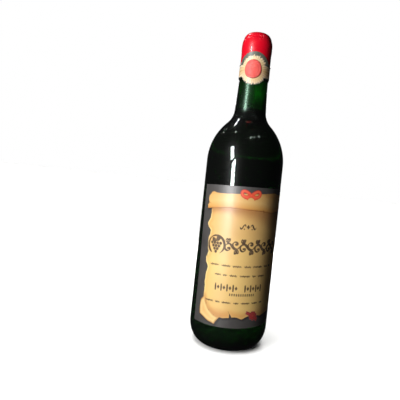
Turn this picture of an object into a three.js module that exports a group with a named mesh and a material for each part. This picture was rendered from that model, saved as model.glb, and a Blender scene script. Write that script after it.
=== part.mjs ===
// Bottle of red wine, corked, with a capsule over its mouth
// Millimetres, +Z up. The origin is the middle of the ring the bottle stands on.
// The main label faces -Y. Angles round the bottle are counted from there towards +X.

import * as THREE from 'three';

// Overall sizes
const bottleHeight = 300;
const bodyRadius = 37.2;
const shoulderStart = 174;
const wineLevel = 226.5;

// Gap that is left between pieces that touch
const touchGap = 0.3;

// Foot of the glass: a rounded heel, a flat ring to stand on and a shallow dome pushed up inside it
const heelHeight = 19.5;
const heelWidth = 13.5;
const ringInnerRadius = 20.5;
const domeHeight = 13;
const domeWall = 5;

// Shoulder and neck: a convex arc runs into a concave one, and the neck narrows upwards
const shoulderRadius = 52.4;
const throatRadius = 20.1;
const neckFootRadius = 15.35;
const neckTopRadius = 14.0;
const glassWall = 3;
const boreRadius = 9.3;
const boreFootHeight = 262;

// Lip of the glass: a band round the mouth with a tall rounded crown
const lipStart = 281;
const lipStep = 1.6;
const lipRadius = 14.3;
const crownStart = 287.2;
const crownWidth = 5.35;
const mouthBevel = 0.5;

// Capsule: a thin plastic cap over the lip, with a skirt down the neck
const capsuleWall = 0.35;
const capsuleFoot = 270;

// Cork: its top is level with the mouth
const corkLength = 40;
const corkBevel = 0.6;

// Main label, pasted on a little crooked
const labelWidth = 99;
const labelHeight = 126.2;
const labelMiddle = 88.3;
const labelTurn = THREE.MathUtils.degToRad(1.7);
const labelThickness = 0.3;

// Neck label: a round middle with a strip to each side, over the edge of the capsule
const neckLabelAngle = THREE.MathUtils.degToRad(-21.7);
const neckLabelMiddle = 262.2;
const neckLabelArchRadius = 17.3;
const neckLabelFootRadius = 14.2;
const neckLabelStripHeight = 13;
const neckLabelWidth = 66;
const neckLabelThickness = 0.4;

// Wafer stuck on the neck label, a little off its middle
const waferAngle = THREE.MathUtils.degToRad(-24.6);
const waferMiddle = 263.1;
const waferRadius = 8.6;
const waferThickness = 0.8;
const waferBevel = 0.35;

// Sides of the round pieces
const glassSides = 52;
const wineSides = 40;
const corkSides = 32;
const waferSides = 30;

// Sizes that follow from the ones above
const ringOuterRadius = bodyRadius - heelWidth;
const arcAngle = Math.acos(1 - (bodyRadius - neckFootRadius) / (shoulderRadius + throatRadius));
const neckStart = shoulderStart + (shoulderRadius + throatRadius) * Math.sin(arcAngle);
const capsuleOffset = touchGap + capsuleWall;
const crownHeight = bottleHeight - capsuleOffset - crownStart;
const crownMiddle = lipRadius - crownWidth;
const glassTop = crownStart + crownHeight;

// Points along an arc of an ellipse, in the plane of radius and height
function arc(middle, height, width, rise, from, to, steps) {
  const points = [];
  for (let i = 0; i <= steps; i += 1) {
    const angle = THREE.MathUtils.lerp(from, to, i / steps);
    points.push(new THREE.Vector2(middle + width * Math.cos(angle), height + rise * Math.sin(angle)));
  }
  return points;
}

// A solid of revolution about +Z
function turned(points, sides) {
  const geometry = new THREE.LatheGeometry(points, sides);
  geometry.rotateX(Math.PI / 2);
  return geometry;
}

// Side of the bottle from the top of the heel to the foot of the neck, moved inwards by a depth
function shoulderLine(depth) {
  const convex = arc(
    bodyRadius - shoulderRadius, shoulderStart,
    shoulderRadius - depth, shoulderRadius - depth, 0, arcAngle, 9,
  );
  const concave = arc(
    neckFootRadius + throatRadius, neckStart,
    throatRadius + depth, throatRadius + depth, Math.PI + arcAngle, Math.PI, 6,
  );
  return [...convex, ...concave.slice(1)];
}

// Outside of the lip and of the neck under it, moved outwards by an offset, from below upwards
function finishLine(offset, foot, crownEnd) {
  return [
    new THREE.Vector2(neckTopRadius + offset, foot),
    new THREE.Vector2(neckTopRadius + offset, lipStart),
    new THREE.Vector2(lipRadius + offset, lipStart + lipStep),
    ...arc(crownMiddle, crownStart, crownWidth + offset, crownHeight + offset, 0, crownEnd, 7),
  ];
}

// Hollow inside the glass, moved inwards by a clearance, from the middle of the floor to the neck
function hollowLine(clearance) {
  const floor = domeHeight + domeWall + clearance;
  const wall = glassWall + clearance;
  const floorEdge = ringInnerRadius + clearance;
  const lowest = domeWall + clearance;
  return [
    new THREE.Vector2(0, floor),
    ...arc(0, lowest, floorEdge, domeHeight, 1.2, 0.25, 4),
    ...arc(
      ringOuterRadius, lowest + heelHeight - glassWall,
      heelWidth - wall, heelHeight - glassWall, -Math.PI / 2, 0, 5,
    ),
    ...shoulderLine(wall),
  ];
}

// The glass, one piece, open at the mouth
function glassGeometry() {
  const mouthRadius = boreRadius + mouthBevel;
  const crownEnd = Math.acos((mouthRadius - crownMiddle) / crownWidth);
  const outside = [
    new THREE.Vector2(0, domeHeight),
    ...arc(0, 0, ringInnerRadius, domeHeight, 1.2, 0, 4),
    ...arc(ringOuterRadius, heelHeight, heelWidth, heelHeight, -Math.PI / 2, 0, 7),
    ...shoulderLine(0),
    new THREE.Vector2(THREE.MathUtils.lerp(neckFootRadius, neckTopRadius, 0.62), neckStart + 18),
    ...finishLine(0, capsuleFoot - 2, crownEnd),
  ];
  const neckInside = neckFootRadius - glassWall;
  const inside = [
    ...hollowLine(0),
    new THREE.Vector2(THREE.MathUtils.lerp(neckInside, boreRadius, 0.55), neckStart + 18),
    new THREE.Vector2(boreRadius, boreFootHeight),
    new THREE.Vector2(boreRadius, glassTop - mouthBevel),
  ];
  return turned([...outside, ...inside.reverse()], glassSides);
}

// The wine, filling the glass up to the foot of the neck
function wineGeometry() {
  const wall = hollowLine(touchGap);
  const surfaceRadius = neckFootRadius - glassWall - touchGap;
  const profile = [
    ...wall,
    new THREE.Vector2(surfaceRadius, wineLevel),
    new THREE.Vector2(0, wineLevel),
  ];
  return turned(profile, wineSides);
}

// The capsule, a cap with one wall thickness
function capsuleGeometry() {
  const outer = finishLine(capsuleOffset, capsuleFoot, Math.PI / 2);
  const inner = finishLine(touchGap, capsuleFoot, Math.PI / 2);
  const profile = [
    new THREE.Vector2(0, glassTop + touchGap),
    ...inner.reverse(),
    ...outer,
    new THREE.Vector2(0, bottleHeight),
  ];
  return turned(profile, glassSides);
}

// The cork in the mouth
function corkGeometry() {
  const radius = boreRadius - touchGap;
  const top = glassTop - mouthBevel;
  const foot = top - corkLength;
  return turned([
    new THREE.Vector2(0, foot),
    new THREE.Vector2(radius - corkBevel, foot),
    new THREE.Vector2(radius, foot + corkBevel),
    new THREE.Vector2(radius, top - corkBevel),
    new THREE.Vector2(radius - corkBevel, top),
    new THREE.Vector2(0, top),
  ], corkSides);
}

// Bends a flat piece round the bottle: its x runs round, its y runs up and its z is the height
// above a cylinder of the given radius
function wrap(geometry, radius, angle, height) {
  const position = geometry.getAttribute('position');
  for (let i = 0; i < position.count; i += 1) {
    const turn = angle + position.getX(i) / radius;
    const reach = radius + position.getZ(i);
    position.setXYZ(i, reach * Math.sin(turn), -reach * Math.cos(turn), height + position.getY(i));
  }
  return geometry;
}

// A flat sheet whose upper and lower edges are functions of the place along it
function sheet(width, thickness, columns, upper, lower) {
  const geometry = new THREE.BoxGeometry(width, 1, thickness, columns, 2, 1);
  const position = geometry.getAttribute('position');
  for (let i = 0; i < position.count; i += 1) {
    const along = position.getX(i);
    const share = position.getY(i) + 0.5;
    position.setY(i, THREE.MathUtils.lerp(lower(along), upper(along), share));
    position.setZ(i, position.getZ(i) + thickness / 2);
  }
  return geometry;
}

// The main label
function labelGeometry() {
  const radius = bodyRadius + touchGap;
  const half = () => labelHeight / 2;
  const geometry = sheet(labelWidth, labelThickness, 40, half, () => -half());
  geometry.rotateZ(labelTurn);
  return wrap(geometry, radius, 0, labelMiddle);
}

// The neck label: each edge follows the round middle, and the strip past it
function neckLabelGeometry() {
  const edge = (radius, along) => Math.max(
    Math.sqrt(Math.max(radius * radius - along * along, 0)),
    neckLabelStripHeight / 2,
  );
  const geometry = sheet(
    neckLabelWidth, neckLabelThickness, 60,
    (along) => edge(neckLabelArchRadius, along),
    (along) => -edge(neckLabelFootRadius, along),
  );
  return wrap(geometry, neckLabelInner(), neckLabelAngle, neckLabelMiddle);
}

// The neck label lies clear of the capsule's skirt
function neckLabelInner() {
  return neckTopRadius + capsuleOffset + touchGap;
}

// The wafer: a thin round plate with bevelled edges
function waferGeometry() {
  const rings = [0.3, 0.55, 0.78];
  const back = rings.map((share) => new THREE.Vector2(share * waferRadius, 0));
  const face = rings.map((share) => new THREE.Vector2(share * waferRadius, waferThickness));
  const profile = [
    new THREE.Vector2(0, 0),
    ...back,
    new THREE.Vector2(waferRadius, 0),
    new THREE.Vector2(waferRadius, waferThickness - waferBevel),
    new THREE.Vector2(waferRadius - waferBevel, waferThickness),
    ...face.reverse(),
    new THREE.Vector2(0, waferThickness),
  ];
  const geometry = turned(profile, waferSides);
  const radius = neckLabelInner() + neckLabelThickness + touchGap;
  return wrap(geometry, radius, waferAngle, waferMiddle);
}

// Colours and finishes
const finishes = {
  glass: { color: 0x123a1c, roughness: 0.06, metalness: 0, transparent: true, opacity: 0.6 },
  wine: { color: 0x2a060c, roughness: 0.05, metalness: 0 },
  capsule: { color: 0xd4142a, roughness: 0.28, metalness: 0 },
  cork: { color: 0xb98d5f, roughness: 0.85, metalness: 0 },
  label: { color: 0xd9b46c, roughness: 0.55, metalness: 0 },
  neckLabel: { color: 0xe8d3a4, roughness: 0.6, metalness: 0 },
  wafer: { color: 0xe0605a, roughness: 0.4, metalness: 0 },
};

// One named mesh for each piece
function piece(name, geometry, finish) {
  const mesh = new THREE.Mesh(geometry, new THREE.MeshStandardMaterial(finish));
  mesh.name = name;
  return mesh;
}

const bottle = new THREE.Group();
bottle.add(
  piece('glass_bottle', glassGeometry(), finishes.glass),
  piece('wine', wineGeometry(), finishes.wine),
  piece('cork', corkGeometry(), finishes.cork),
  piece('capsule', capsuleGeometry(), finishes.capsule),
  piece('main_label', labelGeometry(), finishes.label),
  piece('neck_label', neckLabelGeometry(), finishes.neckLabel),
  piece('neck_wafer', waferGeometry(), finishes.wafer),
);

export default bottle;
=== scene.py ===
# Bottle of red wine: the looks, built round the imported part
# Metres, +Z up. The bottle stands on the floor at the origin, and the main label faces -Y.
# Angles round the bottle are counted from -Y towards +X.

import math

import bpy
import numpy as np
from mathutils import Matrix, Vector


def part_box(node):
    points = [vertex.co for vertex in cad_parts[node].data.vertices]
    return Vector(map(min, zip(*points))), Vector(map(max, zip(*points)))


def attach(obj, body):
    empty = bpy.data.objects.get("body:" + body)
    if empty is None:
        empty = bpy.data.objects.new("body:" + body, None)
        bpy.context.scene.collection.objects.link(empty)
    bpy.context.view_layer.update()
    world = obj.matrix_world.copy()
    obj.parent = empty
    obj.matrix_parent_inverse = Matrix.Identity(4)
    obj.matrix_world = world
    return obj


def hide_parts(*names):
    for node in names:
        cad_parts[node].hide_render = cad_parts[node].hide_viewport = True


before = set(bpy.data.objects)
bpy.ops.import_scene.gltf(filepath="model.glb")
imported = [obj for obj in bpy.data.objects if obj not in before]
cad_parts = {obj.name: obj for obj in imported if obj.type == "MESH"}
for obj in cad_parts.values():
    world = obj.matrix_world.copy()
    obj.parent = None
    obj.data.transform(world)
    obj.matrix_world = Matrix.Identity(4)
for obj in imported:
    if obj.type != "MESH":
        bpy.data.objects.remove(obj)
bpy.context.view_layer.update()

MM = 0.001

# Sizes of the part, read from its frame
GLASS_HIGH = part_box("glass_bottle")[1]
BODY_RADIUS = GLASS_HIGH.x
GLASS_TOP = GLASS_HIGH.z
CAPSULE_FOOT, CAPSULE_TOP = (corner.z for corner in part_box("capsule"))
WINE_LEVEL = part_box("wine")[1].z
CORK_FOOT, CORK_TOP = (corner.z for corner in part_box("cork"))

# Sizes of the glass that its box doesn't give, the same as in the part's source. Only the wall
# at the foot of the neck, THROAT_WALL, is thicker than there, as THROAT_RISE leads up to it.
HEEL_HEIGHT = 19.5 * MM
HEEL_WIDTH = 13.5 * MM
RING_INNER_RADIUS = 20.5 * MM
DOME_HEIGHT = 13 * MM
DOME_WALL = 5 * MM
SHOULDER_START = 174 * MM
SHOULDER_RADIUS = 52.4 * MM
THROAT_RADIUS = 20.1 * MM
NECK_FOOT_RADIUS = 15.35 * MM
NECK_TOP_RADIUS = 14.0 * MM
NECK_TOP = 268 * MM
GLASS_WALL = 3 * MM
THROAT_WALL = 5.5 * MM
THROAT_RISE = 26 * MM
BORE_RADIUS = 9.3 * MM
BORE_FOOT = 262 * MM
MOUTH_BEVEL = 0.5 * MM
LIP_START = 281 * MM
LIP_STEP = 1.6 * MM
LIP_RADIUS = 14.3 * MM
CROWN_START = 287.2 * MM
CROWN_WIDTH = 5.35 * MM
CAPSULE_OFFSET = 0.65 * MM
CAPSULE_WALL = 0.35 * MM
RING_OUTER_RADIUS = BODY_RADIUS - HEEL_WIDTH
ARC_ANGLE = math.acos(1 - (BODY_RADIUS - NECK_FOOT_RADIUS) / (SHOULDER_RADIUS + THROAT_RADIUS))
NECK_START = SHOULDER_START + (SHOULDER_RADIUS + THROAT_RADIUS) * math.sin(ARC_ANGLE)
CROWN_MIDDLE = LIP_RADIUS - CROWN_WIDTH

# Main label: its paper lies on the glass, and is turned a little, as in the part
LABEL_WIDTH = 99 * MM
LABEL_HEIGHT = 126.2 * MM
LABEL_MIDDLE = 88.3 * MM
LABEL_TURN = math.radians(1.7)
LABEL_STEP = 0.45 * MM
LABEL_LIFT = 0.3 * MM
LABEL_LIFT_WIDTH = 2.2 * MM
LABEL_LIFT_RISE = 17 * MM

# Neck label and wafer
NECK_LABEL_ANGLE = math.radians(-21.7)
NECK_LABEL_MIDDLE = 262.2 * MM
NECK_LABEL_ARCH_RADIUS = 17.3 * MM
NECK_LABEL_FOOT_RADIUS = 14.2 * MM
NECK_LABEL_STRIP_HEIGHT = 13 * MM
NECK_LABEL_WIDTH = 66 * MM
ROSETTE_RADIUS = 13.3 * MM
ROSETTE_STRIP_HEIGHT = 11.3 * MM
WAFER_ANGLE = math.radians(-24.6)
WAFER_MIDDLE = 263.1 * MM
WAFER_RADIUS = 8.6 * MM

# Paper of both labels, and the angle from which an edge is drawn sharp
PAPER = 0.12 * MM
SHARP_ANGLE = math.radians(40)


# Shapes


def around(angle, reach, height):
    """A point at an angle round the bottle, in degrees, a reach from its axis, and a height."""
    turned = math.radians(angle)
    return Vector((reach * math.sin(turned), -reach * math.cos(turned), height))


def arc(middle, height, width, rise, start, end, steps):
    """Points along an arc of an ellipse, in the plane of radius and height."""
    angle = np.linspace(start, end, steps + 1)
    return np.column_stack([middle + width * np.cos(angle), height + rise * np.sin(angle)])


def put(name, data):
    """Puts a mesh, a lamp or a camera into the scene."""
    made = bpy.data.objects.new(name, data)
    bpy.context.scene.collection.objects.link(made)
    return made


def add_piece(name, points, faces, finish, node=None):
    """A mesh that rides on the bottle, and may stand for a CAD node, whose part it hides."""
    mesh = bpy.data.meshes.new(name)
    mesh.from_pydata(np.asarray(points).tolist(), [], faces)
    mesh.validate()
    mesh.shade_smooth()
    mesh.set_sharp_from_angle(angle=SHARP_ANGLE)
    mesh.materials.append(finish)
    piece = put(name, mesh)
    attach(piece, "root")
    if node:
        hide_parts(node)
    return piece


def quads(rows, columns, closed=False):
    """Faces of a grid of points. closed joins the last column to the first."""
    last = columns if closed else columns - 1
    made = []
    for row in range(rows - 1):
        for column in range(last):
            after = (column + 1) % columns
            low, high = row * columns, (row + 1) * columns
            made.append((low + column, low + after, high + after, high + column))
    return made


def rim_of(rows, columns):
    """The points round the rim of a grid, in order."""
    return np.concatenate([
        np.arange(columns),
        np.arange(1, rows) * columns + columns - 1,
        (rows - 1) * columns + np.arange(columns - 2, -1, -1),
        np.arange(rows - 2, 0, -1) * columns,
    ])


def edged(face, back, faces, rim):
    """A sheet's points: its face, and the rim of its back, which new faces join to it."""
    first = len(face)
    for i in range(len(rim)):
        after = (i + 1) % len(rim)
        faces.append((int(rim[i]), first + i, first + after, int(rim[after])))
    return np.vstack([face, back])


def set_fields(piece, rim, fields):
    """Stores distances in millimetres for each point of a sheet and of its rim, for its material
    to read."""
    for name, values in fields.items():
        field = piece.data.attributes.new(name, "FLOAT", "POINT")
        distances = np.concatenate([values, values[rim]]) / MM
        field.data.foreach_set("value", np.asarray(distances, np.float32))


def turn(profile, angles, relief=None):
    """Points and faces of a solid of revolution whose profile starts and ends on the axis.
    relief gives how far each point moves outwards, from its row of the profile, its angle,
    radius and height."""
    rim = profile[1:-1]
    row = np.repeat(np.arange(len(rim)), len(angles))
    radius = np.repeat(rim[:, 0], len(angles))
    height = np.repeat(rim[:, 1], len(angles))
    angle = np.tile(angles, len(rim))
    if relief is not None:
        radius = radius + relief(row, angle, radius, height)
    points = np.column_stack([radius * np.sin(angle), -radius * np.cos(angle), height])
    faces = quads(len(rim), len(angles), closed=True)
    first, last = len(points), len(points) + 1
    points = np.vstack([points, [0, 0, profile[0, 1]], [0, 0, profile[-1, 1]]])
    top = (len(rim) - 1) * len(angles)
    for column in range(len(angles)):
        after = (column + 1) % len(angles)
        faces.append((first, after, column))
        faces.append((last, top + column, top + after))
    return points, faces


def even_angles(sides):
    return np.linspace(-math.pi, math.pi, sides, endpoint=False)


def wrap(flat, radius, angle, height):
    """Bends flat points round the bottle: x runs round, y runs up and z is above the radius."""
    turned = angle + flat[:, 0] / radius
    reach = radius + flat[:, 2]
    return np.column_stack([reach * np.sin(turned), -reach * np.cos(turned), height + flat[:, 1]])


def eased(share):
    """A share from 0 to 1 that starts and ends gently."""
    return share * share * (3 - 2 * share)


def waves(angle, height, seed):
    """Low, smooth, uneven waves round and up the bottle, between about -1 and 1."""
    count = 7
    draw = np.random.default_rng(seed)
    total = np.zeros_like(angle)
    for _ in range(count):
        turns = draw.integers(1, 6)
        rise = draw.uniform(-90, 90)
        phase = draw.uniform(0, 2 * math.pi)
        total += np.sin(turns * angle + rise * height + phase)
    return total / count * 1.6


# Nodes and colours


def linear(code):
    """A linear colour from an sRGB hex code."""
    parts = [int(code[i:i + 2], 16) / 255 for i in (1, 3, 5)]
    return [c / 12.92 if c <= 0.04045 else ((c + 0.055) / 1.055) ** 2.4 for c in parts] + [1]


def add(tree, kind, inputs=None, stops=None, **settings):
    """Adds a node. An input given as another node's output is linked, and any other is set."""
    made = tree.nodes.new("ShaderNode" + kind)
    for name, value in settings.items():
        setattr(made, name, value)
    for key, value in (inputs or {}).items():
        if isinstance(value, bpy.types.NodeSocket):
            tree.links.new(value, made.inputs[key])
        else:
            made.inputs[key].default_value = value
    if stops:
        ramp = made.color_ramp
        while len(ramp.elements) < len(stops):
            ramp.elements.new(0.5)
        for element, (place, colour) in zip(ramp.elements, stops):
            element.position = place
            element.color = linear(colour) if isinstance(colour, str) else [colour] * 3 + [1]
    return made


def new_finish(name, **plain):
    """A material with one Principled shader, whose plain values are set on its own sockets."""
    finish = bpy.data.materials.new(name)
    finish.use_nodes = True
    tree = finish.node_tree
    shader = tree.nodes["Principled BSDF"]
    for key, value in plain.items():
        shader.inputs[key.replace("_", " ")].default_value = value
    place = add(tree, "TexCoord").outputs["Object"]
    return finish, tree, shader, place


def feed(tree, node, **sources):
    """Links what varies to the sockets of a node."""
    for key, source in sources.items():
        tree.links.new(source, node.inputs[key.replace("_", " ")])


def clouded(tree, place, spacing, detail, stops, smooth, dull, roughness=0.5):
    """Soft clouds at a spacing. Returns the colour and the gloss that vary with them, and them."""
    clouds = add(tree, "TexNoise", {
        "Vector": place, "Scale": 1 / spacing, "Detail": detail, "Roughness": roughness,
    })
    tone = clouds.outputs["Fac"]
    colour = add(tree, "ValToRGB", {"Fac": tone}, stops=stops)
    gloss = add(tree, "MapRange", {"Value": tone, "To Min": smooth, "To Max": dull})
    return colour.outputs["Color"], gloss.outputs["Result"], clouds


def grained(tree, place, spacing, detail, strength, depth):
    """A grain at a spacing, too low to change the outline."""
    grain = add(tree, "TexNoise", {"Vector": place, "Scale": 1 / spacing, "Detail": detail})
    bump = add(tree, "Bump", {
        "Height": grain.outputs["Fac"], "Strength": strength, "Distance": depth,
    })
    return bump.outputs["Normal"]


def colours_along(tree, value, start, end, stops):
    """A colour that runs through its stops while a value runs from start to end."""
    share = add(tree, "MapRange", {"Value": value, "From Min": start, "From Max": end})
    return add(tree, "ValToRGB", {"Fac": share.outputs["Result"]}, stops=stops).outputs["Color"]


def laid(tree, value, start, end, under, over, most=1, fade="LINEAR"):
    """Lays a colour over another: not at all where a value is at start, the most at its end."""
    share = add(tree, "MapRange", {
        "Value": value, "From Min": start, "From Max": end, "To Min": 0, "To Max": most,
    }, interpolation_type=fade)
    mixed = add(tree, "Mix", {0: share.outputs["Result"], 6: under, 7: over}, data_type="RGBA")
    return mixed.outputs[2]


# Materials

SCUFF_ANGLE = -37
SCUFF_START = 12.4 * MM
SCUFF_FULL = 13.4 * MM

# Softness of a printed edge, in millimetres to each side of it
PRINT_EDGE = 0.1


def moulded_green_glass():
    """Soda-lime bottle glass, blown in a mould and deep green from iron and chrome.
    It is nearly black where it is thick, and clear green in the empty neck. The neck is scuffed
    dull on one side. Towards the neck its gloss is tinted green, a painted reflection that stands
    in for the light its inside wall would mirror through the green glass."""
    finish, tree, shader, place = new_finish(
        "moulded_green_glass", IOR=1.52, Transmission_Weight=0.997,
        Base_Color=linear("#F2FFF4"), Coat_Weight=0.14, Coat_Roughness=0.32,
    )
    film = add(tree, "TexNoise", {
        "Vector": place, "Scale": 1 / (11.11 * MM), "Detail": 5, "Roughness": 0.6,
    })
    rough = add(tree, "MapRange", {
        "Value": film.outputs["Fac"], "From Min": 0.42, "From Max": 0.72,
        "To Min": 0.015, "To Max": 0.07,
    })
    height = add(tree, "SeparateXYZ", {"Vector": place}).outputs["Z"]
    neck = add(tree, "MapRange", {
        "Value": height, "From Min": NECK_START - 14 * MM, "From Max": NECK_START - 2 * MM,
    }).outputs["Result"]
    # How far out a point lies towards the scuffed side, which leaves out the inside of the neck
    outwards = add(tree, "VectorMath", {0: place, 1: around(SCUFF_ANGLE, 1, 0)},
                   operation="DOT_PRODUCT").outputs["Value"]
    scuffed = add(tree, "MapRange", {
        "Value": outwards, "From Min": SCUFF_START, "From Max": SCUFF_FULL,
        "To Min": 0.02, "To Max": 0.25,
    }).outputs["Result"]
    scuffed_neck = add(tree, "Math", {0: scuffed, 1: neck}, operation="MULTIPLY")
    worn = add(tree, "Math", {0: rough.outputs["Result"], 1: scuffed_neck.outputs[0]})
    # Painted reflection: the gloss is tinted mint green towards the neck, in place of the green light
    # its inside wall would mirror
    gloss = add(tree, "ValToRGB", {"Fac": neck}, stops=[(0.2, "#F2FFFC"), (1.0, "#C8FFE0")])
    ripple = grained(tree, place, 22.22 * MM, 2, 0.25, 0.3 * MM)
    feed(tree, shader, Roughness=worn.outputs[0], Specular_Tint=gloss.outputs["Color"],
         Normal=ripple)
    body = add(tree, "VolumeAbsorption", {"Color": linear("#56D166"), "Density": 960})
    feed(tree, tree.nodes["Material Output"], Volume=body.outputs["Volume"])
    return finish


def red_wine():
    """Old red wine, clear but so deep that a glassful is black, with a garnet edge."""
    finish, tree, _, _ = new_finish(
        "red_wine", IOR=1.34, Transmission_Weight=1.0, Roughness=0.0,
        Base_Color=linear("#FFF0F0"),
    )
    body = add(tree, "VolumeAbsorption", {"Color": linear("#A01824"), "Density": 420})
    feed(tree, tree.nodes["Material Output"], Volume=body.outputs["Volume"])
    return finish


def shrunk_plastic_capsule():
    """PVC film, shrunk on by heat: crimson, smooth and satin, with a fine grain."""
    finish, tree, shader, place = new_finish(
        "shrunk_plastic_capsule", Coat_Weight=0.35, Coat_Roughness=0.12,
    )
    colour, gloss, _ = clouded(
        tree, place, 16.67 * MM, 3, [(0.3, "#D80420"), (0.7, "#E80826")], 0.3, 0.42,
    )
    grain = grained(tree, place, 1.429 * MM, 2, 0.15, 0.05 * MM)
    feed(tree, shader, Base_Color=colour, Roughness=gloss, Normal=grain)
    return finish


def cut_cork():
    """Natural cork, punched from bark: tan, with darker pores across it."""
    finish, tree, shader, place = new_finish("cut_cork", Roughness=0.85)
    bark = add(tree, "TexNoise", {
        "Vector": place, "Scale": 1 / (3.846 * MM), "Detail": 6, "Roughness": 0.7,
    }).outputs["Fac"]
    colour = add(tree, "ValToRGB", {"Fac": bark}, stops=[
        (0.3, "#6E4A2A"), (0.45, "#B08456"), (0.7, "#CDA473"),
    ])
    pores = add(tree, "Bump", {"Height": bark, "Strength": 0.6, "Distance": 0.4 * MM})
    feed(tree, shader, Base_Color=colour.outputs["Color"], Normal=pores.outputs["Normal"])
    return finish


def parchment(tree, place, far):
    """The colour of the printed scroll, by its distances: old parchment, rolled up along its top
    and turned up at one corner."""
    height = add(tree, "SeparateXYZ", {"Vector": place}).outputs["Z"]

    # The parchment: worn pale at its edge, dark where its foot curls, stained, and paler downwards,
    # which is painted light that evens out how the lamps fall off towards its foot
    skin = colours_along(tree, far["scroll"], 0, -26, [
        (0.0, "#FBE0A8"), (0.03, "#F2D08C"), (0.07, "#DDA863"), (0.2, "#E2B776"), (0.6, "#E2BC7A"),
    ])
    top, curl_start, foot = (LABEL_MIDDLE + rise * MM for rise in (48, -45, -53))
    # Painted light: a pale yellow is laid on more and more towards the foot, to make up for the
    # lamps' fall-off
    skin = laid(tree, height, top, curl_start, skin, linear("#FFE694"), 0.55)
    skin = laid(tree, height, curl_start, foot, skin, linear("#D6924E"), 0.6, "SMOOTHSTEP")
    stain = add(tree, "TexNoise", {"Vector": place, "Scale": 1 / (41.67 * MM), "Detail": 3})
    aged = add(tree, "ValToRGB", {"Fac": stain.outputs["Fac"]}, stops=[
        (0.35, "#D9A661"), (0.65, "#FFF2C4"),
    ])
    skin = add(tree, "Mix", {0: 0.35, 6: skin, 7: aged.outputs["Color"]},
               data_type="RGBA", blend_type="MULTIPLY").outputs[2]

    # The roll along the top is lit on its crown, dark at its lower edge, and shades the sheet
    rolled = colours_along(tree, far["roll_rise"], 0, 15, [
        (0.0, "#B47439"), (0.1, "#D89E51"), (0.45, "#E2B570"), (0.8, "#DEAE68"), (1.0, "#D19C58"),
    ])
    skin = laid(tree, far["under_roll"], 1, 0, skin, linear("#AC7440"), 0.8, "SMOOTHSTEP")
    skin = laid(tree, far["roll"], PRINT_EDGE, -PRINT_EDGE, skin, rolled)

    # The corner that is turned up, and its shade on the sheet
    flap = colours_along(tree, far["flap"], 0, -7, [
        (0.0, "#C98F50"), (0.25, "#F0CE8A"), (0.7, "#E8B873"), (1.0, "#D79A58"),
    ])
    skin = laid(tree, far["flap"], 5, 0, skin, linear("#C88C50"), 0.6, "SMOOTHSTEP")
    skin = laid(tree, far["flap"], PRINT_EDGE, -PRINT_EDGE, skin, flap)
    return skin


def printed_label_paper():
    """Coated label paper, offset printed: a dark grey ground with a parchment scroll on it.
    Its coating gives a broad, soft sheen. The print is drawn from the distances that the
    label's mesh carries, in millimetres."""
    finish, tree, shader, place = new_finish(
        "printed_label_paper", Coat_Weight=1.0, Coat_Roughness=0.52, Coat_IOR=1.7,
    )
    far = {}
    for name in ("scroll", "scroll_shadow", "roll", "roll_rise", "under_roll", "flap", "bow",
                 "seal"):
        far[name] = add(tree, "Attribute", attribute_name=name).outputs["Fac"]
    ground, gloss, _ = clouded(
        tree, place, 13.33 * MM, 4, [(0.3, "#413E3D"), (0.7, "#4D4A48")], 0.32, 0.46, 0.6,
    )

    # The scroll with its shadow on the ground, and then the ribbon bow and the wax seal
    face = laid(tree, far["scroll_shadow"], 1.6, 0, ground, linear("#1E1C1D"), 0.7, "SMOOTHSTEP")
    face = laid(tree, far["scroll"], 0.12, -0.12, face, parchment(tree, place, far))
    for name, middle, stops in (
        ("bow", -1.6, [(0.0, "#A82418"), (0.25, "#DE4227"), (1.0, "#F06A48")]),
        ("seal", -3.5, [
            (0.0, "#C77A74"), (0.15, "#8E2227"), (0.4, "#C04440"), (0.6, "#A02C30"),
            (1.0, "#CC5548"),
        ]),
    ):
        colour = colours_along(tree, far[name], 0, middle, stops)
        face = laid(tree, far[name], PRINT_EDGE, -PRINT_EDGE, face, colour)
    fibres = grained(tree, place, 1.111 * MM, 3, 0.2, 0.04 * MM)
    feed(tree, shader, Base_Color=face, Roughness=gloss, Normal=fibres)
    return finish


def printing_ink(name, thin, thick):
    """Printing ink, a little uneven where the plate carried less of it."""
    finish, tree, shader, place = new_finish(name, Roughness=0.5)
    cover = add(tree, "TexNoise", {"Vector": place, "Scale": 1 / (2.5 * MM), "Detail": 3})
    colour = add(tree, "ValToRGB", {"Fac": cover.outputs["Fac"]}, stops=[
        (0.35, thin), (0.65, thick),
    ])
    feed(tree, shader, Base_Color=colour.outputs["Color"])
    return finish


def printed_neck_paper():
    """Coated paper like the main label's, and a little glossier: a cream rosette with gilt
    petals and a deckled edge on a dark ground, and a brown ring round the wafer, printed and
    wider to the lower right, where it is a painted shadow of the wafer."""
    finish, tree, shader, place = new_finish(
        "printed_neck_paper", Coat_Weight=1.0, Coat_Roughness=0.43, Coat_IOR=1.62,
    )
    rosette, petals, ring = (
        add(tree, "Attribute", attribute_name=name).outputs["Fac"]
        for name in ("rosette", "petals", "ring")
    )
    ground, gloss, mottle = clouded(
        tree, place, 4.545 * MM, 4, [(0.3, "#4C4F44"), (0.7, "#686A5E")], 0.4, 0.6,
    )
    cream = colours_along(tree, rosette, 0, -5, [
        (0.0, "#F6E4C6"), (0.25, "#F4D8AE"), (0.6, "#EED0A0"), (1.0, "#E6C28C"),
    ])
    cream = add(tree, "Mix", {0: 0.3, 6: cream, 7: mottle.outputs["Color"]},
                data_type="RGBA", blend_type="SOFT_LIGHT").outputs[2]
    cream = laid(tree, petals, 0.1, 0.9, cream, linear("#B98A4E"), 0.6)
    face = laid(tree, rosette, 0.08, -0.08, ground, cream)
    # The brown ring is printed, and its wider part to the lower right is a painted shadow of the
    # wafer
    face = laid(tree, ring, PRINT_EDGE, -PRINT_EDGE, face, linear("#742C1E"))
    feed(tree, shader, Base_Color=face, Roughness=gloss)
    return finish


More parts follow.
